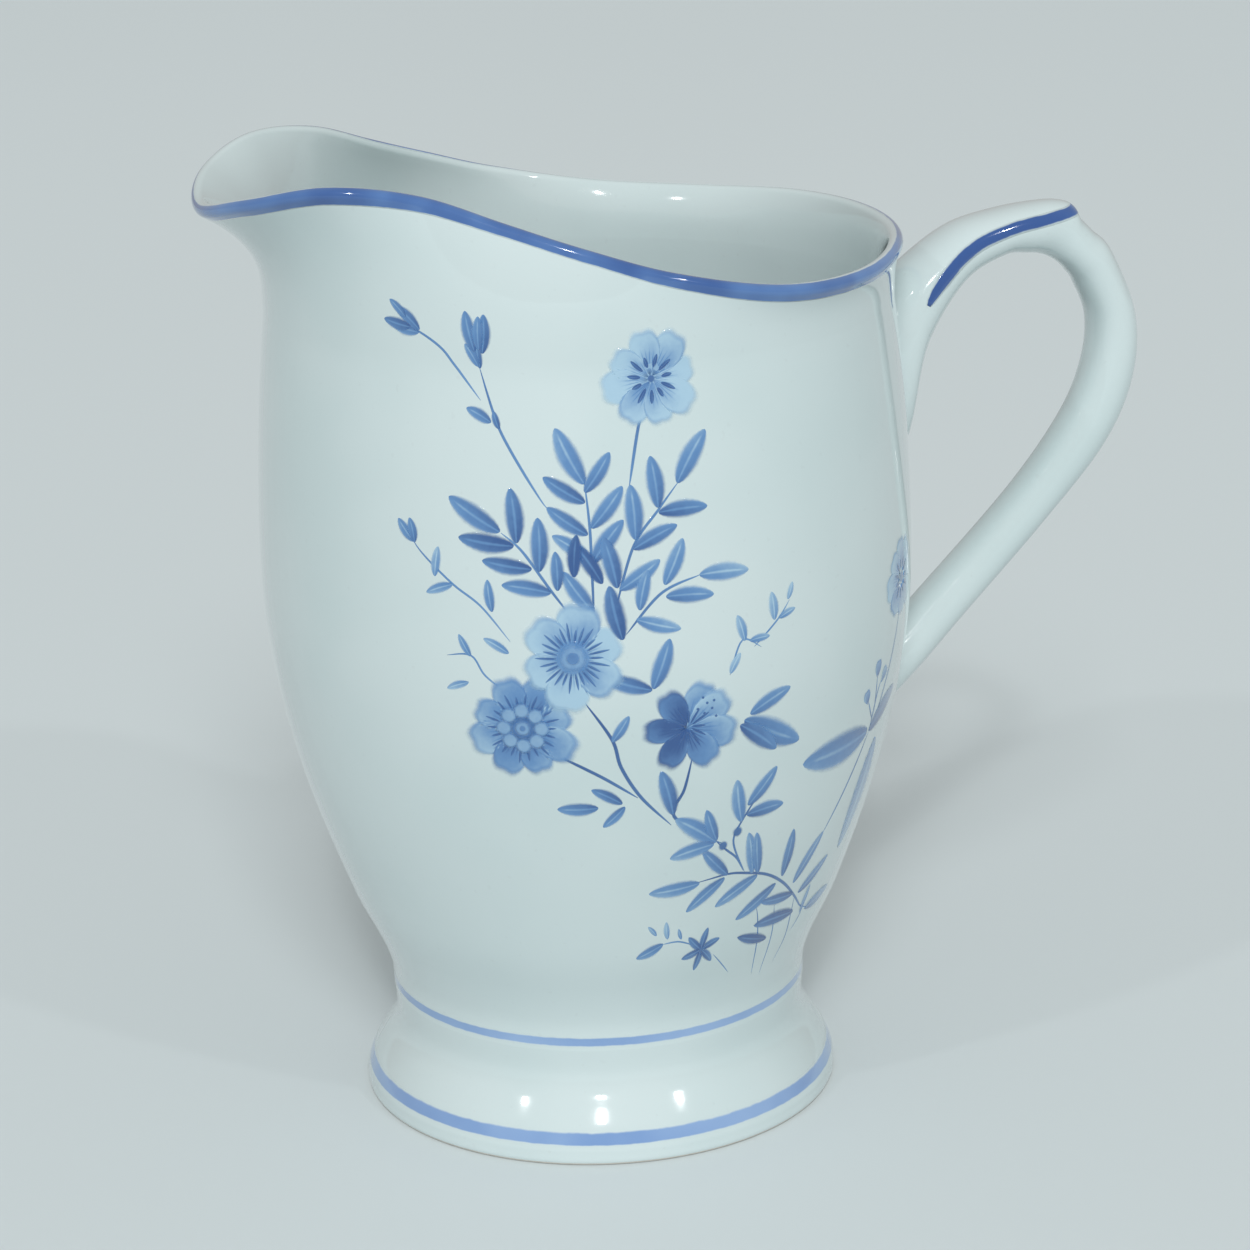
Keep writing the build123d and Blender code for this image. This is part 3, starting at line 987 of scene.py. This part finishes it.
def buds():
    """The nodding buds high on the left, the small ones lower down and the berries."""
    high = [(-18.6, 100.1, 3.4, 168), (-18.5, 100.4, 3.6, 142), (-19.6, 100.6, 3.4, 172),
            (-20.2, 101.6, 2.6, 140), (-11.3, 96.6, 2.6, 96), (-11.5, 96.8, 2.7, 124),
            (-11.9, 98.4, 4.2, 104), (-11, 98.2, 4.0, 86), (-11.4, 98.6, 3.4, 92)]
    low = [(-19.4, 77.3, 2.9, 128), (-19.3, 77.2, 2.6, 104), (-9.2, 90.2, 1.9, 108), (-10.1, 90.9, 3, 152)]
    return (leaves(high, 0.62, 0.5) + leaves(low, 0.62, 0.56)
            + [dab(18.1, 41.8, 1.5, 1.0), dab(16.3, 40.3, 1.4, 1.0)])


def small_flower():
    """The little flower at the foot of the print and its light leaflets."""
    return ([leaf(15.5, 26.1, 2.9, 20 + 60 * i, 0.75, 0.5) for i in range(6)] + [dab(15.5, 26.1, 0.9, 1.0)]
            + leaves([(10, 28.4, 2.4, 100), (8.3, 29.1, 1.8, 135), (12.1, 28.1, 1.6, 110)], 0.25)
            + [leaf(9.4, 27.8, 4.0, 205, 0.5)])


def upper_stems():
    """Stems of the buds, the high flower and the sprays."""
    return [(0.9, 0.45, [(-21, 101), (-18.4, 100.1), (-15.9, 98.6), (-14.4, 96.9), (-12.7, 94.9),
                         (-11.3, 93.2)]),
            (1.0, 0.5, [(-11.4, 96.7), (-9.8, 91.8), (-8.4, 88.7), (-4.6, 82.4), (-3.8, 81.8)]),
            (1.1, 0.6, [(7.7, 94), (6.2, 90.7), (4.8, 83.8)]),
            (1.0, 0.6, [(0.6, 69), (0.5, 76), (0.4, 79.9), (0, 84.5)]),
            (1.0, 0.55, [(-1.9, 69.9), (-3.9, 72.7), (-6.9, 77), (-9.2, 79)]),
            (1.0, 0.6, [(2.8, 70), (5, 77.2), (7.9, 81.1), (10.3, 84)]),
            (1.0, 0.6, [(4, 67.6), (7.9, 71.9), (12.3, 73.5)]),
            (0.8, 0.4, [(-19.9, 78), (-18.5, 76.2), (-14.8, 73), (-11.6, 70.7), (-8.5, 66.9)]),
            (0.7, 0.4, [(-15.8, 64.9), (-13, 65.1), (-11.5, 62.9), (-9.2, 61.1)]),
            (0.7, 0.35, [(15.6, 61.6), (17.1, 65.4), (19.5, 64.2)]),
            (0.7, 0.35, [(18.6, 64.4), (21.7, 67), (23.3, 68.9)])]


def lower_stems():
    """Stems of the large flowers, the berries, the trailing branch and its grasses."""
    return [(1.3, 0.8, [(-0.7, 60), (2.2, 55.4), (3.2, 51.9), (5.5, 48), (9.2, 44.1)]),
            (1.2, 0.8, [(-4.2, 53.8), (0.9, 50.9), (5.1, 48)]),
            (1.3, 0.8, [(11.4, 52.5), (10.6, 48.5), (9.4, 45.4), (13, 42.3), (16.2, 40.6)]),
            (0.9, 0.7, [(21.3, 47.5), (18.5, 43), (17.7, 41), (18.4, 38.9), (20.3, 35.9)]),
            (0.9, 0.7, [(15.3, 41), (16.9, 39.6), (18.6, 38.2), (20, 36.2)]),
            (1.2, 0.75, [(13.2, 35.8), (17.5, 36.2), (20.3, 35.8), (24.2, 34.7), (28, 32.6), (31.8, 29.7),
                         (34.5, 27.6), (37, 26.8)]),
            (0.7, 0.5, [(31.8, 29.7), (32.6, 26.3), (33.5, 23), (33.1, 20)]),
            (0.7, 0.5, [(35.5, 27.7), (35.1, 25.8), (34.2, 24.2)]),
            (0.7, 0.5, [(27.5, 29.7), (28.8, 26.1), (29.8, 22.3), (30.2, 19.1)]),
            (0.7, 0.5, [(23.8, 30.4), (24.7, 28.6), (26, 25.2), (28, 19.6)]),
            (0.7, 0.4, [(14.2, 26.9), (11.7, 27.8), (9.2, 27.7)]),
            (0.5, 0.4, [(17.9, 24.9), (22.1, 21.3)])]


def side_leaves():
    """The small print beside the handle."""
    return ([leaf(40, 48.8, 12.4, -179, 0.55, 0.42), leaf(40.4, 48.7, 7.8, 24, 0.85, 0.44),
             leaf(43.5, 46.9, 13, -98, 0.3, 0.42)]
            + [(PETAL, 40.4, 55.2, 2.6, 95, 1.7, 0.7), (PETAL, 41.9, 54.2, 2.4, 55, 1.6, 0.6),
               (PETAL, 38.7, 52.4, 2.4, 115, 1.6, 0.65)])


def side_flower():
    """The flower beside the handle's lower root."""
    return (petals(46.4, 65.6, 5.4, 8, 0.35, 5, 0.74) + dashes(46.4, 65.6, 1.1, 1.4, 11, 0.55, 1.0)
            + [dab(46.4, 65.6, 1.6, 0.95)])


def side_stems():
    """Stems of the small print beside the handle."""
    return [(1.0, 0.6, [(40.6, 48.9), (41.1, 53), (41.9, 54.6)]),
            (0.8, 0.6, [(41, 51), (40.4, 55.4)]),
            (0.8, 0.6, [(40.7, 50), (38.9, 52.6)]),
            (1.1, 0.6, [(40.5, 48.6), (37.3, 42.8), (34, 37.3)]),
            (1.1, 0.6, [(41.5, 49), (44, 55), (46, 61.5)])]


# ---------------------------------------------------------------- operators

def sizes():
    return bpy.context.scene.cream_jug_sizes


def colours():
    return bpy.context.scene.cream_jug_colours


CAMERA_PLACE = (-114.96, -379.96, 181.75)    # millimetres
CAMERA_TURNS = (-17.46, 72.51, -1.51)        # heading, pitch and roll in degrees
LAMP_DISTANCE = 20.0                         # metres
LAMP_AIM_Z = 60.0                            # millimetres
FLOOR_HALF = 6.0                             # metres


class CREAMJUG_OT_stage(bpy.types.Operator):
    """Camera, soft lamps and the pale floor"""

    bl_idname = "creamjug.stage"
    bl_label = "Stage"

    def execute(self, context):
        scene = context.scene
        scene.view_settings.view_transform = "Standard"
        camera = bpy.data.objects.new("camera", bpy.data.cameras.new("camera"))
        scene.collection.objects.link(camera)
        camera.data.sensor_width, camera.data.lens = 36.0, 100.79
        camera.data.clip_end = LAMP_DISTANCE * 1.5
        heading, pitch, roll = (math.radians(a) for a in CAMERA_TURNS)
        camera.matrix_world = (Matrix.Translation(Vector(CAMERA_PLACE) * MM)
                               @ Matrix.Rotation(heading, 4, "Z") @ Matrix.Rotation(pitch, 4, "X")
                               @ Matrix.Rotation(roll, 4, "Z"))
        scene.camera = camera
        self.light(scene)
        self.floor(floor_finish())
        return {"FINISHED"}

    def light(self, scene):
        world = bpy.data.worlds.new("soft_room")
        scene.world = world
        world.use_nodes = True
        world.node_tree.nodes["Background"].inputs["Color"].default_value = tone(243, 244, 243)
        world.node_tree.nodes["Background"].inputs["Strength"].default_value = 0.48
        lamp("front_lamp", -17.5, 37.5, 1.1, 480.0)
        lamp("left_lamp", -62, 37.5, 0.7, 260.0)
        lamp("right_lamp", 27, 37.5, 0.7, 260.0)
        soft = lamp("soft_lamp", -15.5, 38, 6.0, 2400.0)
        soft.visible_glossy = False

    def floor(self, material):
        points = [(x * FLOOR_HALF, y * FLOOR_HALF, 0) for x, y in ((-1, -1), (1, -1), (1, 1), (-1, 1))]
        made = mesh_piece("floor", points, [(0, 1, 2, 3)], material)


def lamp(name, azimuth, elevation, size, power):
    """A square soft lamp that shines on the jug: azimuth 0 is in front, on -Y, and grows to the right."""
    light = bpy.data.lights.new(name, "AREA")
    light.energy, light.size = power, size
    made = bpy.data.objects.new(name, light)
    bpy.context.scene.collection.objects.link(made)
    turn, rise = math.radians(azimuth), math.radians(elevation)
    away = Vector((math.sin(turn) * math.cos(rise), -math.cos(turn) * math.cos(rise), math.sin(rise)))
    made.matrix_world = (Matrix.Translation(away * LAMP_DISTANCE + Vector((0, 0, LAMP_AIM_Z * MM)))
                         @ away.to_track_quat("Z", "Y").to_matrix().to_4x4())
    return made


class CREAMJUG_OT_bowl(bpy.types.Operator):
    """Casts the bowl with its spout and round lip"""

    bl_idname = "creamjug.bowl"
    bl_label = "Bowl"

    def execute(self, context):
        points, faces = bowl_mesh(sizes().around)
        made = mesh_piece("bowl", points, faces, porcelain_finish(colours()))
        turn_outwards(made.data)
        wear(made, "porcelain", "jug_body")
        return {"FINISHED"}


class CREAMJUG_OT_rim_line(bpy.types.Operator):
    """Paints the cobalt line over the lip"""

    bl_idname = "creamjug.rim_line"
    bl_label = "Rim Line"

    def execute(self, context):
        jug, paint = sizes(), colours()
        angles = [360 * i / jug.around for i in range(jug.around)]
        lift = 0.02
        outer = lip_film_rows(jug.rim_line / MM, lift, angles)
        inner = lip_film_rows(jug.rim_line / MM, lift - jug.film / MM, angles)
        rows = outer + inner[::-1]
        rows.append(rows[0])
        points, faces = loops_mesh([row for row, _ in rows])
        material = enamel_finish("cobalt_enamel_rim", paint, tuple(paint.cobalt),
                                 tuple(paint.thin_cobalt), 60.0)
        made = mesh_piece("rim_line", points, faces, material, 60)
        keep_numbers(made.data, "finish", [mark for _, mark in rows for _ in angles])
        turn_outwards(made.data)
        wear(made, "cobalt_enamel", "rim_band")
        return {"FINISHED"}


class CREAMJUG_OT_foot(bpy.types.Operator):
    """Turns the hollow foot"""

    bl_idname = "creamjug.foot"
    bl_label = "Foot"

    def execute(self, context):
        outside_line, inside_line = along(FOOT_OUTSIDE, 4), along(FOOT_INSIDE, 4)
        profile = outside_line + inside_line[:-1]
        marks = [1.0 if z < 0.35 else 0.0 for _, z in profile]
        made = turned("foot_cup", profile + [FOOT_INSIDE[-1]], marks + [1.0], sizes().around,
                      foot_finish(colours()))
        wear(made, "porcelain", "foot")
        return {"FINISHED"}


class CREAMJUG_OT_turned_lines(bpy.types.Operator):
    """Paints the pale blue lines at the waist and on the foot"""

    bl_idname = "creamjug.turned_lines"
    bl_label = "Waist and Foot Lines"

    def execute(self, context):
        jug, paint = sizes(), colours()
        material = enamel_finish("pale_blue_enamel_line", paint, tuple(paint.pale_blue),
                                 tone(140, 168, 205), 45.0)
        waist = [(outside(0, z)[0], z) for z in (13.35, 13.8, 14.2, 14.65)]
        foot = [(smooth([(z, r) for r, z in FOOT_OUTSIDE], z), z) for z in (4.0, 3.4, 2.8, 2.35)][::-1]
        for name, edge, node in (("waist_line", waist, "waist_band"), ("foot_line", foot, "foot_band")):
            profile, marks = film_profile(edge, jug.film / MM, 0.025)
            wear(turned(name, profile, marks, jug.around, material), "pale_blue_enamel", node)
        return {"FINISHED"}


class CREAMJUG_OT_handle(bpy.types.Operator):
    """Casts the handle with its thumb rest"""

    bl_idname = "creamjug.handle"
    bl_label = "Handle"

    def execute(self, context):
        points, faces = handle_mesh()
        made = mesh_piece("loop_handle", points, faces, porcelain_finish(colours()), 60)
        turn_outwards(made.data)
        wear(made, "porcelain", "handle")
        return {"FINISHED"}


class CREAMJUG_OT_handle_line(bpy.types.Operator):
    """Brushes the blue line along the handle's edges and over the ridge"""

    bl_idname = "creamjug.handle_line"
    bl_label = "Handle Line"

    def execute(self, context):
        jug, paint = sizes(), colours()
        near = [(1.9, 80), (2.4, 78), (3.0, 76), (3.8, 73), (4.6, 69), (5.4, 62), (6.1, 52),
                (6.7, 36), (7.0, 15)]
        path = near + [(row, -turn) for row, turn in reversed(near)]
        points, faces, shares = brushed_line(path, jug.handle_line / MM, 0.03)
        material = enamel_finish("cobalt_enamel_handle", paint, tuple(paint.cobalt),
                                 tuple(paint.thin_cobalt), 80.0)
        made = mesh_piece("handle_line", points, faces, material, 60)
        keep_numbers(made.data, "finish", shares)
        last = len(points) // BRUSH_POINTS - 1
        steps = [i // BRUSH_POINTS for i in range(len(points))]
        keep_numbers(made.data, "load", [1 - 2.2 * min(i, last - i) / last for i in steps])
        thicken(made, jug.film)
        wear(made, "cobalt_enamel", "handle_stripe")
        return {"FINISHED"}


FRONT_STROKES = (("middle_sprays", middle_sprays, 0.03), ("lower_cluster", lower_cluster, 0.03),
                 ("flower_leaves", flower_leaves, 0.03), ("buds_and_berries", buds, 0.045),
                 ("anemone", anemone, 0.05), ("zinnia", zinnia, 0.05), ("dark_flower", dark_flower, 0.05),
                 ("light_flower", light_flower, 0.05), ("small_flower", small_flower, 0.05),
                 ("side_leaves", side_leaves, 0.03), ("side_flower", side_flower, 0.05))
FRONT_STEMS = (("upper_stems", upper_stems, 0.02), ("lower_stems", lower_stems, 0.02),
               ("side_stems", side_stems, 0.02))


class CREAMJUG_OT_print(bpy.types.Operator):
    """Lays the printed flowers, leaves and stems on both sides of the bowl"""

    bl_idname = "creamjug.print"
    bl_label = "Print"

    def execute(self, context):
        jug = sizes()
        material = print_finish(colours())
        strokes, stems = stroke_tree(material), stem_tree(material)
        for side, middle, drop in (("front", FRONT_MIDDLE, 0.0), ("back", BACK_MIDDLE, BACK_DROP)):
            for name, rows, layer in FRONT_STROKES:
                made = strokes_piece(f"{side}_{name}", rows(), middle, layer, drop, strokes, jug)
                wear(sink_in_glaze(made), "blue_print")
            for name, rows, layer in FRONT_STEMS:
                made = stems_piece(f"{side}_{name}", rows(), middle, layer, drop, stems, jug)
                wear(sink_in_glaze(made), "blue_print")
        return {"FINISHED"}


OPERATORS = (CREAMJUG_OT_stage, CREAMJUG_OT_bowl, CREAMJUG_OT_rim_line, CREAMJUG_OT_foot,
             CREAMJUG_OT_turned_lines, CREAMJUG_OT_handle, CREAMJUG_OT_handle_line, CREAMJUG_OT_print)


class CREAMJUG_PT_panel(bpy.types.Panel):
    """Lists the jug's sizes, colours and steps"""

    bl_idname = "CREAMJUG_PT_panel"
    bl_label = "Cream Jug"
    bl_space_type = "VIEW_3D"
    bl_region_type = "UI"
    bl_category = "Cream Jug"

    def draw(self, context):
        for group in (context.scene.cream_jug_sizes, context.scene.cream_jug_colours):
            for name in group.__annotations__:
                self.layout.prop(group, name)
        for operator in OPERATORS:
            self.layout.operator(operator.bl_idname)


CLASSES = (CreamJugSizes, CreamJugColours, *OPERATORS, CREAMJUG_PT_panel)


def register():
    for item in CLASSES:
        bpy.utils.register_class(item)
    bpy.types.Scene.cream_jug_sizes = bpy.props.PointerProperty(type=CreamJugSizes)
    bpy.types.Scene.cream_jug_colours = bpy.props.PointerProperty(type=CreamJugColours)


def unregister():
    del bpy.types.Scene.cream_jug_sizes
    del bpy.types.Scene.cream_jug_colours
    for item in reversed(CLASSES):
        bpy.utils.unregister_class(item)


def main():
    """Builds the stage and every piece."""
    register()
    for name in ("stage", "bowl", "rim_line", "foot", "turned_lines", "handle", "handle_line", "print"):
        getattr(bpy.ops.creamjug, name)()


if __name__ == "__main__":
    main()
